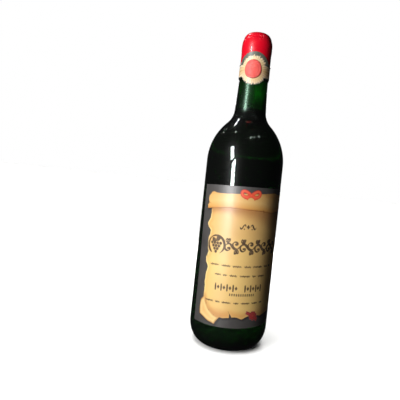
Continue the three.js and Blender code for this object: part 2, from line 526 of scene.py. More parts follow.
def pressed_wafer():
    """A wafer of coral sealing wax, pressed with a die: softly glossy and a little cloudy."""
    finish, tree, shader, place = new_finish("pressed_wafer", Subsurface_Weight=0.1)
    colour, gloss, _ = clouded(
        tree, place, 5.556 * MM, 4, [(0.3, "#E8504C"), (0.7, "#F4695F")], 0.45, 0.6,
    )
    feed(tree, shader, Base_Color=colour, Roughness=gloss)
    return finish


def matt_floor_paint():
    """Floor paint, rolled on: nearly white and quite matt, so that it mirrors nothing."""
    return new_finish(
        "pale_floor", Base_Color=linear("#F4F4F2"), Roughness=0.9, Specular_IOR_Level=0,
    )[0]


# Bottle


def shoulder_line(depth):
    """The side of the bottle from the heel to the foot of the neck, moved inwards."""
    convex = arc(
        BODY_RADIUS - SHOULDER_RADIUS, SHOULDER_START,
        SHOULDER_RADIUS - depth, SHOULDER_RADIUS - depth, 0, ARC_ANGLE, 40,
    )
    concave = arc(
        NECK_FOOT_RADIUS + THROAT_RADIUS, NECK_START,
        THROAT_RADIUS + depth, THROAT_RADIUS + depth, math.pi + ARC_ANGLE, math.pi, 24,
    )
    return np.vstack([convex, concave[1:]])


def body_line(depth, foot):
    """The straight side of the body."""
    height = np.linspace(foot, SHOULDER_START, 36)[1:-1]
    return np.column_stack([np.full(len(height), BODY_RADIUS - depth), height])


def neck_line(foot_radius, top_radius, top):
    """The neck narrows fast at its foot and slowly higher up."""
    share = np.linspace(0, 1, 25)[1:]
    radius = top_radius + (foot_radius - top_radius) * (1 - share) ** 2
    return np.column_stack([radius, NECK_START + share * (top - NECK_START)])


def finish_line(offset, foot, crown_end):
    """The lip and the neck below it, from below upwards, moved outwards."""
    crown_height = CAPSULE_TOP - CAPSULE_OFFSET - CROWN_START
    share = np.linspace(0, 1, 9)
    band = np.column_stack([
        NECK_TOP_RADIUS + offset + (LIP_RADIUS - NECK_TOP_RADIUS) * eased(share),
        LIP_START - LIP_STEP + 3 * LIP_STEP * share,
    ])
    skirt = np.linspace(foot, LIP_START - LIP_STEP, 12)[:-1]
    return np.vstack([
        np.column_stack([np.full(len(skirt), NECK_TOP_RADIUS + offset), skirt]),
        band,
        arc(CROWN_MIDDLE, CROWN_START, CROWN_WIDTH + offset, crown_height + offset,
            0, crown_end, 24),
    ])


def hollow_line(reach):
    """The inside of the glass from the middle of its floor to the foot of the neck, where the
    wall thickens. reach moves it into the glass."""
    wall = GLASS_WALL - reach
    lowest = DOME_WALL - reach
    shoulder = shoulder_line(wall)
    share = np.clip((shoulder[:, 1] - NECK_START) / THROAT_RISE + 1, 0, 1)
    shoulder[:, 0] -= (THROAT_WALL - GLASS_WALL) * share ** 2
    return np.vstack([
        [[0, DOME_HEIGHT + lowest]],
        arc(0, lowest, RING_INNER_RADIUS - reach, DOME_HEIGHT, 1.5, 0.25, 20),
        arc(RING_OUTER_RADIUS, lowest + HEEL_HEIGHT - GLASS_WALL,
            HEEL_WIDTH - wall, HEEL_HEIGHT - GLASS_WALL, -math.pi / 2, 0, 16),
        body_line(wall, lowest + HEEL_HEIGHT - GLASS_WALL),
        shoulder,
    ])


SEAM_ANGLE = math.radians(-70)
SEAM_WIDTH = 0.35 * MM
SEAM_HEIGHT = 0.09 * MM
SEAM_FOOT = 4 * MM
UNEVEN_WALL = 0.22 * MM


def seam_relief(angle, radius, height):
    """The two seams that the halves of the mould left, up both sides of the bottle."""
    away = (angle - SEAM_ANGLE + math.pi / 2) % math.pi - math.pi / 2
    seam = SEAM_HEIGHT * np.exp(-((away * radius / SEAM_WIDTH) ** 2))
    return np.where((height > SEAM_FOOT) & (height < CAPSULE_FOOT), seam, 0)


def inside_relief(angle, height):
    """The inside of a blown bottle is a little uneven."""
    return UNEVEN_WALL * waves(angle, height, seed=11)


def glass_angles():
    """Even angles, and some close together at the seams, at millimetres from their middle."""
    near = np.array([-1.2, -0.8, -0.5, -0.25, 0, 0.25, 0.5, 0.8, 1.2]) * MM / BODY_RADIUS
    seams = [(SEAM_ANGLE + side + near) for side in (0, math.pi)]
    return np.unique(np.concatenate([even_angles(176), *seams]))


def make_glass():
    """The glass in one piece: its profile runs up its outside and down its inside."""
    mouth = BORE_RADIUS + MOUTH_BEVEL
    crown_end = math.acos((mouth - CROWN_MIDDLE) / CROWN_WIDTH)
    outside = np.vstack([
        [[0, DOME_HEIGHT]],
        arc(0, 0, RING_INNER_RADIUS, DOME_HEIGHT, 1.5, 0, 24),
        arc(RING_OUTER_RADIUS, HEEL_HEIGHT, HEEL_WIDTH, HEEL_HEIGHT, -math.pi / 2, 0, 24),
        body_line(0, HEEL_HEIGHT),
        shoulder_line(0),
        neck_line(NECK_FOOT_RADIUS, NECK_TOP_RADIUS, NECK_TOP),
        finish_line(0, NECK_TOP + 1 * MM, crown_end),
    ])
    inside = np.vstack([
        hollow_line(0),
        neck_line(NECK_FOOT_RADIUS - THROAT_WALL, BORE_RADIUS, BORE_FOOT),
        [[BORE_RADIUS, GLASS_TOP - MOUTH_BEVEL]],
    ])

    def relief(row, angle, radius, height):
        return np.where(
            row < len(outside) - 1,
            seam_relief(angle, radius, height),
            inside_relief(angle, height) * (height < BORE_FOOT),
        )

    points, faces = turn(np.vstack([outside, inside[::-1]]), glass_angles(), relief)
    add_piece(
        "green_glass", points, faces, moulded_green_glass(), "glass_bottle",
    )


def make_wine():
    """The wine reaches just into the glass, and climbs its wall a little at the surface."""
    reach = 0.15 * MM
    wall = hollow_line(reach)
    edge = NECK_FOOT_RADIUS - THROAT_WALL + reach
    climb = 1.1 * MM
    climb_width = 1.75 * MM
    radius = np.linspace(edge, 0, 30)
    surface = WINE_LEVEL - climb + climb * np.exp(-(edge - radius) / climb_width)
    profile = np.vstack([wall, np.column_stack([radius, surface])])

    def relief(row, angle, radius, height):
        return np.where(row < len(wall), inside_relief(angle, height), 0)

    points, faces = turn(profile, even_angles(160), relief)
    add_piece("wine_body", points, faces, red_wine(), "wine")


def make_cork():
    """The cork is squeezed a little into the glass round it."""
    squeeze = 0.05 * MM
    radius = BORE_RADIUS + squeeze
    bevel = 0.6 * MM
    side = np.linspace(CORK_FOOT + bevel, CORK_TOP - bevel, 20)
    profile = np.vstack([
        [[0, CORK_FOOT], [radius * 0.5, CORK_FOOT], [radius - bevel, CORK_FOOT]],
        np.column_stack([np.full(len(side), radius), side]),
        [[radius - bevel, CORK_TOP], [radius * 0.5, CORK_TOP], [0, CORK_TOP]],
    ])
    points, faces = turn(profile, even_angles(96))
    add_piece("cork_plug", points, faces, cut_cork(), "cork")


PULL_DEPTH = 0.05 * MM
FOLD_HEIGHT = 294.4 * MM
FOLD_WIDTH = 0.8 * MM
FOLD_DEPTH = 0.34 * MM
PLEAT_RISE = 3 * MM
PLEATS = 23


def capsule_relief(row, angle, radius, height):
    """Soft pulls in the shrunk film, a fold near the top, and small pleats at its foot."""
    pulls = PULL_DEPTH * waves(angle, height, seed=5)
    fold = -FOLD_DEPTH * np.exp(-(((height - FOLD_HEIGHT) / FOLD_WIDTH) ** 2))
    near_foot = np.exp(-(height - CAPSULE_FOOT) / PLEAT_RISE)
    pleats = PULL_DEPTH * near_foot * np.sin(PLEATS * angle + 2 * np.sin(3 * angle))
    return pulls + fold + pleats


def make_capsule():
    """The capsule's film, closed over the lip."""
    outer = finish_line(CAPSULE_OFFSET, CAPSULE_FOOT, math.pi / 2)
    inner = finish_line(CAPSULE_OFFSET - CAPSULE_WALL, CAPSULE_FOOT, math.pi / 2)
    top = CAPSULE_TOP
    profile = np.vstack([
        [[0, top - CAPSULE_WALL]],
        inner[::-1],
        outer,
        [[CROWN_MIDDLE * 0.66, top], [CROWN_MIDDLE * 0.33, top], [0, top]],
    ])
    points, faces = turn(profile, even_angles(180), capsule_relief)
    add_piece(
        "red_capsule", points, faces, shrunk_plastic_capsule(), "capsule",
    )


# Main label


TORN_STEP = 0.7 * MM


def torn(points, seed, deep=1.0 * MM, fine=0.45 * MM):
    """A closed outline through the given corners, with a torn edge. Seeded."""
    draw = np.random.default_rng(seed)
    corners = np.asarray(points, float) * MM
    edge = []
    for start, end in zip(corners, np.roll(corners, -1, axis=0)):
        length = np.linalg.norm(end - start)
        steps = max(2, int(length / TORN_STEP))
        share = np.linspace(0, 1, steps, endpoint=False)[:, None]
        edge.append(start + share * (end - start))
    edge = np.vstack(edge)
    count = len(edge)
    forward = np.roll(edge, -1, axis=0) - np.roll(edge, 1, axis=0)
    out = np.column_stack([forward[:, 1], -forward[:, 0]])
    out /= np.linalg.norm(out, axis=1)[:, None]
    shift = np.zeros(count)
    for spacing, size in ((9, deep), (3, fine)):
        knots = draw.uniform(-1, 1, count // spacing + 1)
        knots[-1] = knots[0]
        shift += size * np.interp(np.arange(count) / spacing, np.arange(len(knots)), knots)
    return edge + out * shift[:, None]


def distance(points, outline):
    """Signed distance from each point to a closed outline, negative inside it."""
    best = np.full(len(points), np.inf)
    within = np.zeros(len(points), bool)
    for start, end in zip(outline, np.roll(outline, -1, axis=0)):
        along = end - start
        away = points - start
        share = np.clip(away @ along / (along @ along), 0, 1)
        gap = away - share[:, None] * along
        best = np.minimum(best, np.einsum("ij,ij->i", gap, gap))
        crosses = (start[1] > points[:, 1]) != (end[1] > points[:, 1])
        if along[1] != 0:
            within ^= crosses & (away[:, 0] < along[0] * away[:, 1] / along[1])
    return np.where(within, -1, 1) * np.sqrt(best)


def bow_outlines():
    """A tied bow: two open loops, a knot and two tails with forked ends."""
    middle = np.array([-0.4, 55.6])
    share = np.linspace(0, 1, 28)
    outlines = []
    for side in (-1, 1):
        turned = share * 2 * math.pi
        loop = np.column_stack([
            side * (0.8 + 3.8 * (1 - np.cos(turned))),
            3.2 * np.sin(turned) * (0.5 + 0.25 * (1 - np.cos(turned))) + 0.8 * (1 - np.cos(turned)),
        ])
        upper, lower = stroke(loop, 3.0)
        outlines.append(middle + np.vstack([upper, lower[::-1]]))
        tail = np.array([[0.2, 0.6], [3.4, -4.6], [4.6, -3.3], [6.4, -3.8], [2.2, 1.2]]) * [side, 1]
        outlines.append(middle + tail)
    knot = 1.7 * np.column_stack([np.cos(share * 2 * math.pi), 0.95 * np.sin(share * 2 * math.pi)])
    outlines.append(middle + knot[:-1])
    return [outline * MM for outline in outlines]


def seal_outlines():
    """A drop of sealing wax over the ends of a ribbon."""
    middle = np.array([10.4, -52.4])
    angle = np.linspace(0, 2 * math.pi, 72, endpoint=False)
    radius = 4.1 + 0.3 * np.sin(7 * angle) + 0.2 * np.sin(4 * angle + 1)
    drop = middle + np.column_stack([radius * np.cos(angle), radius * np.sin(angle)])
    ribbons = [
        middle + np.array([[-1.5, 2.6], [-7.6, 5.2], [-7.0, 3.7], [-8.2, 2.2], [-2.5, -0.5]]),
        middle + np.array([[1.5, 1.5], [6.0, -3.0], [4.8, -4.2], [4.6, -6.0], [-0.5, -2.0]]),
    ]
    return [outline * MM for outline in [drop, *ribbons]]


# Corners of the scroll's sheet, of its roll and of its turned-up corner, in millimetres from the
# middle of the label
SHEET_CORNERS = [
    (-38.5, 44), (-38, 33), (-41, 26.5), (-37.2, 21), (-38.8, 14), (-38.2, 2), (-40.2, -3),
    (-37.6, -12), (-39, -24), (-38.5, -38), (-35, -50), (-24, -54.5), (-12.5, -54), (-11.8, -51),
    (-10.4, -54.2), (-2, -54), (8, -51.5), (20, -53), (33, -52), (38.5, -44), (37.4, -26),
    (39.2, -8), (37.6, 9), (39, 24), (37.8, 44),
]
ROLL_CORNERS = [
    (-43.2, 41), (-44, 44.2), (-42.2, 46.6), (-43.8, 49), (-42.8, 52.6), (-37.4, 57.4),
    (-30, 56), (-22, 55.6), (-8, 56.4), (8, 57), (26, 58.4), (38, 57), (43, 52), (42.4, 44),
    (38, 40.6), (24, 40), (14.5, 41.6), (14, 40.4), (12.6, 42), (-4, 42.8), (-18, 43.4), (-32, 42.6),
]
FLAP_CORNERS = [
    (-38.4, -38.5), (-42, -43), (-43, -49), (-42.2, -55.4), (-36, -57.4), (-31, -59.4),
    (-25.6, -61), (-23.6, -57.4), (-21, -54.6), (-26.5, -53.2), (-31.4, -49.8), (-35, -44.6),
]


def label_grid():
    """The flat label as a fine grid of points, from its middle, with its rows and columns."""
    columns = round(LABEL_WIDTH / LABEL_STEP) + 1
    rows = round(LABEL_HEIGHT / LABEL_STEP) + 1
    across = np.linspace(-LABEL_WIDTH / 2, LABEL_WIDTH / 2, columns)
    up = np.linspace(-LABEL_HEIGHT / 2, LABEL_HEIGHT / 2, rows)
    flat = np.column_stack([np.tile(across, rows), np.repeat(up, columns)])
    return flat, rows, columns


def turned_label(flat):
    """Label points turned by the label's slight turn, with their height above the glass."""
    spin = Matrix.Rotation(LABEL_TURN, 2)
    return np.column_stack([flat[:, :2] @ np.array(spin).T, flat[:, 2]])


def label_height(flat):
    """How high the paper's face stands: it lies flat, but lifts a hair at its side edges."""
    from_edge = LABEL_WIDTH / 2 - np.abs(flat[:, 0])
    lift = LABEL_LIFT * np.exp(-((from_edge / LABEL_LIFT_WIDTH) ** 2))
    wave = 0.5 + 0.5 * np.sin(flat[:, 1] / LABEL_LIFT_RISE + np.sign(flat[:, 0]) * 1.3)
    return PAPER + lift * wave


def roll_foot(x):
    """Height of the lower edge of the roll, at places along it, in millimetres."""
    return np.interp(x, [-44, -18, 12, 24, 43], [41, 43.4, 42, 40, 42])


def make_main_label():
    """The main label, a sheet with thin edges that go most of the way down to the glass."""
    flat, rows, columns = label_grid()
    rim = rim_of(rows, columns)
    faces = quads(rows, columns)
    face, back = (
        turned_label(np.column_stack([flat, label_height(flat) - depth]))
        for depth in (0, PAPER * 0.8)
    )
    points = wrap(edged(face, back[rim], faces, rim), BODY_RADIUS, 0, LABEL_MIDDLE)
    piece = add_piece(
        "printed_label", points, faces, printed_label_paper(), "main_label",
    )
    sheet = distance(flat, torn(SHEET_CORNERS, seed=3))
    roll = distance(flat, torn(ROLL_CORNERS, seed=8, deep=0.5 * MM, fine=0.2 * MM))
    flap = distance(flat, torn(FLAP_CORNERS, seed=6, deep=0.4 * MM, fine=0.2 * MM))
    scroll = np.minimum(np.minimum(sheet, roll), flap)
    under = np.interp(flat[:, 0] / MM, [-20, 25], [8, 19])
    cast = np.roll(scroll.reshape(rows, columns), (-2, 2), axis=(0, 1))
    set_fields(piece, rim, {
        "scroll": scroll,
        "roll": roll,
        "roll_rise": flat[:, 1] - roll_foot(flat[:, 0] / MM) * MM,
        "under_roll": roll / under,
        "flap": flap,
        "bow": np.min([distance(flat, outline) for outline in bow_outlines()], axis=0),
        "seal": np.min([distance(flat, outline) for outline in seal_outlines()], axis=0),
        "scroll_shadow": cast.ravel(),
    })


# Line work of the label


def stroke(line, width):
    """A flat stroke along a line of points, in millimetres: its two edges."""
    line = np.asarray(line, float)
    forward = np.gradient(line, axis=0)
    side = np.column_stack([-forward[:, 1], forward[:, 0]])
    side /= np.maximum(np.linalg.norm(side, axis=1), 1e-9)[:, None]
    half = np.broadcast_to(np.asarray(width, float), (len(line),))[:, None] / 2
    return line + side * half, line - side * half


PEN_SLANT = math.radians(40)


def pen(line, broad, narrow):
    """A stroke of a broad-nibbed pen, which is broad across its slant and narrow along it."""
    forward = np.gradient(np.asarray(line, float), axis=0)
    heading = np.arctan2(forward[:, 1], forward[:, 0])
    share = np.linspace(0, 1, len(line))
    taper = np.clip(np.minimum(share, 1 - share) * 8, 0.25, 1)
    return stroke(line, (narrow + (broad - narrow) * np.abs(np.sin(heading - PEN_SLANT))) * taper)


def curl(x, y, start_radius, end_radius, start, end):
    """A spiral about a point."""
    share = np.linspace(0, 1, 36)
    radius = start_radius + (end_radius - start_radius) * share
    angle = start + (end - start) * share
    return np.column_stack([x + radius * np.cos(angle), y + radius * np.sin(angle)])


def dot(x, y, radius):
    """A round dot, as a short stroke with a round outline."""
    along = radius * np.cos(np.linspace(math.pi, 0, 13))
    width = 2 * np.sqrt(np.maximum(radius * radius - along * along, 0))
    line = np.column_stack([x + along, np.full(len(along), y)])
    return stroke(line, np.maximum(width, 0.02))


def leaf(x, y, length, heading, plump=0.34):
    """A pointed leaf from its stalk."""
    share = np.linspace(0, 1, 16)
    bend = 0.12 * length * np.sin(share * math.pi)
    ahead = np.array([math.cos(heading), math.sin(heading)])
    beside = np.array([-ahead[1], ahead[0]])
    line = [x, y] + share[:, None] * length * ahead + bend[:, None] * beside
    return stroke(line, np.maximum(2 * plump * length * np.sin(share * math.pi) ** 0.8, 0.05))


def vine_strokes():
    """A vine across the label, where its largest line of print was: a generic ornament."""
    made = []
    left, right, level = -21.0, 34.0, 9.5
    across = np.linspace(left, right, 160)
    period = 13.75
    stem = np.column_stack([across, level + 2.6 * np.sin((across - left) / period * 2 * math.pi)])
    made.append(pen(stem, 2.3, 0.8))
    for i in range(8):
        x = left + period / 4 + i * period / 2
        up = 1 if i % 2 == 0 else -1
        tendril = curl(x, level - up * 1.8, 4.0, 0.8, up * 0.3 * math.pi, up * 2.4 * math.pi)
        made.append(pen(tendril, 1.7, 0.6))
        made.append(dot(x, level - up * 1.8, 1.0))
        for lean in (-0.55, 0.4):
            heading = up * (math.pi / 2 + lean)
            made.append(leaf(x + lean, level + up * 2.6, 4.8, heading))
    return made


def bunch_strokes():
    """A bunch of grapes in a wreath, at the head of the vine: a generic ornament."""
    made = []
    middle_x, middle_y, grape = -29.3, 9.4, 1.4
    for row in range(4):
        count = 4 - row
        for i in range(count):
            x = middle_x + (i - (count - 1) / 2) * grape * 2.1
            y = middle_y + 1.6 - row * grape * 1.85
            made.append(dot(x, y, grape))
    for side in (-1, 1):
        made.append(leaf(middle_x, middle_y + 3.2, 5.2, math.pi / 2 + side * 0.95, 0.36))
    stalk = np.column_stack([
        middle_x + np.linspace(0, 0.8, 12), middle_y + np.linspace(3.0, 8.8, 12),
    ])
    made.append(stroke(stalk, 0.9))
    for start, end in ((0.42, 1.36), (1.64, 2.58)):
        wreath = curl(middle_x, middle_y, 8.2, 8.2, start * math.pi, end * math.pi)
        made.append(pen(wreath, 2.4, 0.8))
    return made


def fleuron_strokes():
    """The small mark above the vine: a lozenge between two curls."""
    x, y = -0.9, 27.4
    made = [stroke([[x - 1.5, y], [x, y], [x + 1.5, y]], [0.05, 4.2, 0.05])]
    for side in (-1, 1):
        across = np.linspace(0, 1, 30)
        line = np.column_stack([
            x + side * (2.0 + 5.6 * across), y + 1.9 * np.sin(across * 2 * math.pi),
        ])
        made.append(pen(line, 1.5, 0.6))
        made.append(dot(x + side * 3.6, y - 1.9, 0.6))
    return made


def scribble_strokes(left, right, level, height, seed):
    """A line of small print, as wavy pen lines in groups: it spells nothing."""
    broad, narrow = 0.672, 0.378
    draw = np.random.default_rng(seed)
    made = []
    x = left
    while x < right - 2:
        length = min(draw.uniform(3.5, 11), right - x)
        share = np.linspace(0, length, max(8, int(length * 9)))
        line = np.column_stack([
            x + share,
            level + height / 2 * np.sin(share * 2 * math.pi / (height * 0.95))
            * (0.75 + 0.25 * np.sin(share * 1.7 + x)),
        ])
        made.append(pen(line, broad, narrow))
        x += length + draw.uniform(1.4, 2.2)
    return made


def border_strokes(left, right, level, height):
    """A band of upright bars and lozenges, where a second line of large print was."""
    made = []
    step = 2.7
    for i in range(int((right - left) / step)):
        x = left + (i + 0.5) * step
        if i % 2 == 0:
            line = [[x, level - height / 2], [x + 0.1, level], [x, level + height / 2]]
            made.append(stroke(line, [1.1, 1.5, 1.1]))
        else:
            line = [[x, level - height * 0.3], [x, level], [x, level + height * 0.3]]
            made.append(stroke(line, [0.06, 2.6, 0.06]))
    return made


def bar_strokes(left, right, level, height):
    """A row of short plain bars."""
    step, width = 2.0, 0.95
    middles = [left + (i + 0.5) * step for i in range(int((right - left) / step))]
    return [stroke([[x, level - height / 2], [x, level + height / 2]], width) for x in middles]


def crease_strokes():
    """Brown lines of the scroll's folds and its small tears."""
    across = np.linspace(-43, 42.5, 80)
    curl_line = np.array([[-36.5, -39.5], [-35, -44.6], [-31.4, -49.8], [-26.5, -53.2], [-21, -54.6]])
    return [
        stroke(np.column_stack([across, roll_foot(across)]), 0.24 + 0.1 * np.sin(across / 5)),
        stroke(curl_line, [0.1, 0.4, 0.5, 0.4, 0.1]),
        stroke([[13.4, 40.6], [13.0, 42.2], [12.0, 43.8]], [0.5, 0.3, 0.05]),
        stroke([[-11.9, -51.2], [-12.4, -49.6], [-13.6, -48.0]], [0.5, 0.3, 0.05]),
        stroke([[-40.2, -2.4], [-38.4, -1.6], [-37.4, -3.6]], [0.1, 0.5, 0.1]),
        stroke([[-43.6, 46.4], [-41.6, 46.2], [-39.4, 45.4]], [0.5, 0.3, 0.05]),
    ]


def make_ink(name, strokes, finish, lift):
    """Lays strokes on the label as one thin layer of ink, each a hair above the one before."""
    hair = 0.0004 * MM
    points, faces = [], []
    for index, (upper, lower) in enumerate(strokes):
        first = sum(len(p) for p in points)
        count = len(upper)
        flat = np.vstack([upper, lower]) * MM
        points.append(np.column_stack([flat, np.full(len(flat), lift + index * hair)]))
        for i in range(count - 1):
            faces.append((first + count + i, first + count + i + 1, first + i + 1, first + i))
    flat = np.vstack(points)
    flat[:, 2] += label_height(flat)
    bent = wrap(turned_label(flat), BODY_RADIUS, 0, LABEL_MIDDLE)
    add_piece(name, bent, faces, finish)


def make_label_print():
    """The ornament and the scroll's creases. Each line of ornament is given by its left and right
    end, its level and its height, in millimetres from the middle of the label."""
    brown = printing_ink("brown_ink", "#6E5A44", "#4E3C2C")
    ornament = [
        *vine_strokes(), *bunch_strokes(), *fleuron_strokes(),
        *scribble_strokes(-34, 28, -8.2, 1.7, seed=21),
        *scribble_strokes(-28.5, 21, -16.6, 1.7, seed=22),
        *border_strokes(-28, -5, -27.6, 6.2), *border_strokes(-1, 20.5, -27.6, 6.2),
        *bar_strokes(-14, 10, -33.4, 2.2),
        *scribble_strokes(-36.5, 20, -40.8, 1.5, seed=23),
    ]
    make_ink("label_ink", ornament, brown, 0.02 * MM)
    folds = printing_ink("sepia_ink", "#8A5A30", "#6B4020")
    make_ink("label_fold_lines", crease_strokes(), folds, 0.012 * MM)


# Neck label and wafer


NECK_ROLL_RADIUS = NECK_TOP_RADIUS + CAPSULE_OFFSET
TOUCH_GAP = 0.03 * MM
SKIRT_SLOPE = 2.5 * MM
STRIP_LIFT = 0.8 * MM
STRIP_LIFT_ANGLE = math.radians(88)
STRIP_LIFT_SPREAD = math.radians(26)
DECKLE = 0.5 * MM
# How far the ring is set off to the right and down from the wafer, to paint the wafer's shadow
RING_SHADOW_SHIFT = 0.2 * MM
RING_SHADOW_DROP = 0.25 * MM
RING_WIDTH = 0.9 * MM
PETALS = 34


def neck_surface(height):
    """Radius of what the neck label lies on: the capsule's skirt, and the glass below it."""
    share = np.clip((height - NECK_START) / (NECK_TOP - NECK_START), 0, 1)
    glass = NECK_TOP_RADIUS + (NECK_FOOT_RADIUS - NECK_TOP_RADIUS) * (1 - share) ** 2
    over = eased(np.clip((height - CAPSULE_FOOT) / SKIRT_SLOPE + 1, 0, 1))
    return glass + (CAPSULE_OFFSET + PULL_DEPTH + TOUCH_GAP) * over


def strip_lift(angle):
    """The strips of the neck label stand off the neck a little at both sides."""
    away = np.abs(angle - NECK_LABEL_ANGLE) - STRIP_LIFT_ANGLE
    return STRIP_LIFT * np.exp(-((away / STRIP_LIFT_SPREAD) ** 2))


def on_neck(flat, middle_angle=NECK_LABEL_ANGLE, middle_height=NECK_LABEL_MIDDLE):
    """Puts flat points of the neck label round the neck, at their height above what it covers."""
    angle = middle_angle + flat[:, 0] / NECK_ROLL_RADIUS
    height = middle_height + flat[:, 1]
    radius = neck_surface(height) + flat[:, 2] + strip_lift(angle)
    return np.column_stack([radius * np.sin(angle), -radius * np.cos(angle), height])


def neck_print(flat):
    """Distances for the neck label's print: its deckled rosette, a ring that also paints the
    wafer's shadow, and the petals.
    """
    draw = np.random.default_rng(14)
    angle = np.arctan2(flat[:, 1], flat[:, 0])
    spikes = np.zeros(len(flat))
    for turns in (19, 31, 47, 67):
        spikes += np.sin(turns * angle + draw.uniform(0, 6.3)) * draw.uniform(0.5, 1)
    round_part = np.hypot(flat[:, 0], flat[:, 1]) - ROSETTE_RADIUS + DECKLE * spikes
    ripple = DECKLE / 2 * np.sin(flat[:, 0] / (0.9 * MM)) * np.sin(flat[:, 0] / (2.3 * MM))
    strip = np.abs(flat[:, 1]) - ROSETTE_STRIP_HEIGHT / 2 + ripple
    # The ring is set off to the right and down from the wafer: its wider part there is the wafer's
    # painted shadow
    ring_x = (WAFER_ANGLE - NECK_LABEL_ANGLE) * NECK_ROLL_RADIUS + RING_SHADOW_SHIFT
    ring_y = WAFER_MIDDLE - NECK_LABEL_MIDDLE - RING_SHADOW_DROP
    out = np.hypot(flat[:, 0] - ring_x, flat[:, 1] - ring_y) - WAFER_RADIUS
    creases = np.cos(PETALS * angle + 0.7 * np.sin(5 * angle))
    return {
        "rosette": np.minimum(round_part, strip),
        "ring": np.abs(out) - RING_WIDTH / 2,
        "petals": creases * np.clip(out / (2.4 * MM), 0, 1) * MM,
    }


def make_neck_label():
    """The neck label: a round middle and two strips, with thin edges down to the neck."""
    columns, rows = 331, 91
    across = np.linspace(-NECK_LABEL_WIDTH / 2, NECK_LABEL_WIDTH / 2, columns)

    def edge(radius):
        round_part = np.sqrt(np.maximum(radius ** 2 - across ** 2, 0))
        return np.maximum(round_part, NECK_LABEL_STRIP_HEIGHT / 2)

    share = np.linspace(0, 1, rows)[:, None]
    up = -edge(NECK_LABEL_FOOT_RADIUS) * (1 - share) + edge(NECK_LABEL_ARCH_RADIUS) * share
    flat = np.column_stack([np.tile(across, rows), up.ravel(), np.full(rows * columns, PAPER)])
    rim = rim_of(rows, columns)
    faces = quads(rows, columns)
    points = on_neck(edged(flat, flat[rim] * [1, 1, 0.1], faces, rim))
    piece = add_piece(
        "neck_label_paper", points, faces, printed_neck_paper(), "neck_label",
    )
    set_fields(piece, rim, neck_print(flat))


def wafer_relief(x, y):
    """The pressed pattern, in millimetres: a raised rim, a groove and a small bunch of grapes."""
    radius = np.hypot(x, y)
    height = 0.12 * np.exp(-(((radius - 7.3) / 0.55) ** 2))
    height -= 0.08 * np.exp(-(((radius - 6.2) / 0.3) ** 2))
    for row in range(4):
        for i in range(4 - row):
            grape_x = (i - (3 - row) / 2) * 1.5
            grape_y = 1.0 - row * 1.3
            away = np.hypot(x - grape_x, y - grape_y) / 0.72
            height += 0.2 * np.sqrt(np.maximum(1 - away ** 2, 0))
    for side in (-1, 1):
        lean_x = (x - side * 1.3) * 0.8 + side * (y - 2.9) * 0.6
        lean_y = -side * (x - side * 1.3) * 0.6 + (y - 2.9) * 0.8
        away = np.hypot(lean_x / 1.6, lean_y / 0.7)
        height += 0.15 * np.sqrt(np.maximum(1 - away ** 2, 0))
    return height


def make_wafer():
    """The wafer, in millimetres until it is put on the neck: rounded at its edge, and pressed."""
    sides, rings = 160, 48
    radius_mm = WAFER_RADIUS / MM
    thickness, rounding = 0.3, 0.35
    angle = np.linspace(0, 2 * math.pi, sides, endpoint=False)
    radii = np.concatenate([np.linspace(0.15, radius_mm - 0.3, rings), [radius_mm - 0.1, radius_mm]])
    radius = np.repeat(radii, sides)
    turns = np.tile(angle, len(radii))
    x, y = radius * np.cos(turns), radius * np.sin(turns)
    edge = np.clip((radius_mm - radius) / rounding, 0, 1)
    height = thickness * np.sqrt(1 - (1 - edge) ** 2) + wafer_relief(x, y) * edge
    flat = np.column_stack([x, y, height]) * MM
    middle = np.array([[0, 0, (thickness + float(wafer_relief(0.0, 0.0))) * MM]])
    flat = np.vstack([flat, middle])
    flat[:, 2] += PAPER
    faces = quads(len(radii), sides, closed=True)
    faces += [(len(flat) - 1, i, (i + 1) % sides) for i in range(sides)]
    points = on_neck(flat, WAFER_ANGLE, WAFER_MIDDLE)
    add_piece("wax_wafer", points, faces, pressed_wafer(), "neck_wafer")


# Camera, floor and light

# The photograph looks level at the bottle from close by, with the bottle leaning to the right
CAMERA_YAW = math.radians(-14.5)
CAMERA_DISTANCE = 374.6 * MM
CAMERA_SIDE = -16.6 * MM
CAMERA_HEIGHT = 151.7 * MM
CAMERA_ROLL = math.radians(6.11)
FOCAL_PIXELS = 380.9
IMAGE_PIXELS = 400
SENSOR = 36

# Where the lens's axis meets the photograph, in pixels from its upper left corner
VIEW_MIDDLE_X = 225.6
VIEW_MIDDLE_Y = 184


def make_camera():
    """The camera, at the place and with the lens that the photograph's outline was fitted with."""
    lens = bpy.data.cameras.new("camera")
    lens.sensor_width = SENSOR
    lens.lens = SENSOR * FOCAL_PIXELS / IMAGE_PIXELS
    lens.shift_x = -(VIEW_MIDDLE_X - IMAGE_PIXELS / 2) / IMAGE_PIXELS
    lens.shift_y = (VIEW_MIDDLE_Y - IMAGE_PIXELS / 2) / IMAGE_PIXELS
    lens.clip_start = 0.01
    camera = put("camera", lens)
    yaw = Matrix.Rotation(CAMERA_YAW, 4, "Z")
    place = Matrix.Translation((CAMERA_SIDE, -CAMERA_DISTANCE, CAMERA_HEIGHT))
    level = Matrix.Rotation(math.pi / 2, 4, "X")
    roll = Matrix.Rotation(CAMERA_ROLL, 4, "Z")
    camera.matrix_world = yaw @ place @ level @ roll
    bpy.context.scene.camera = camera


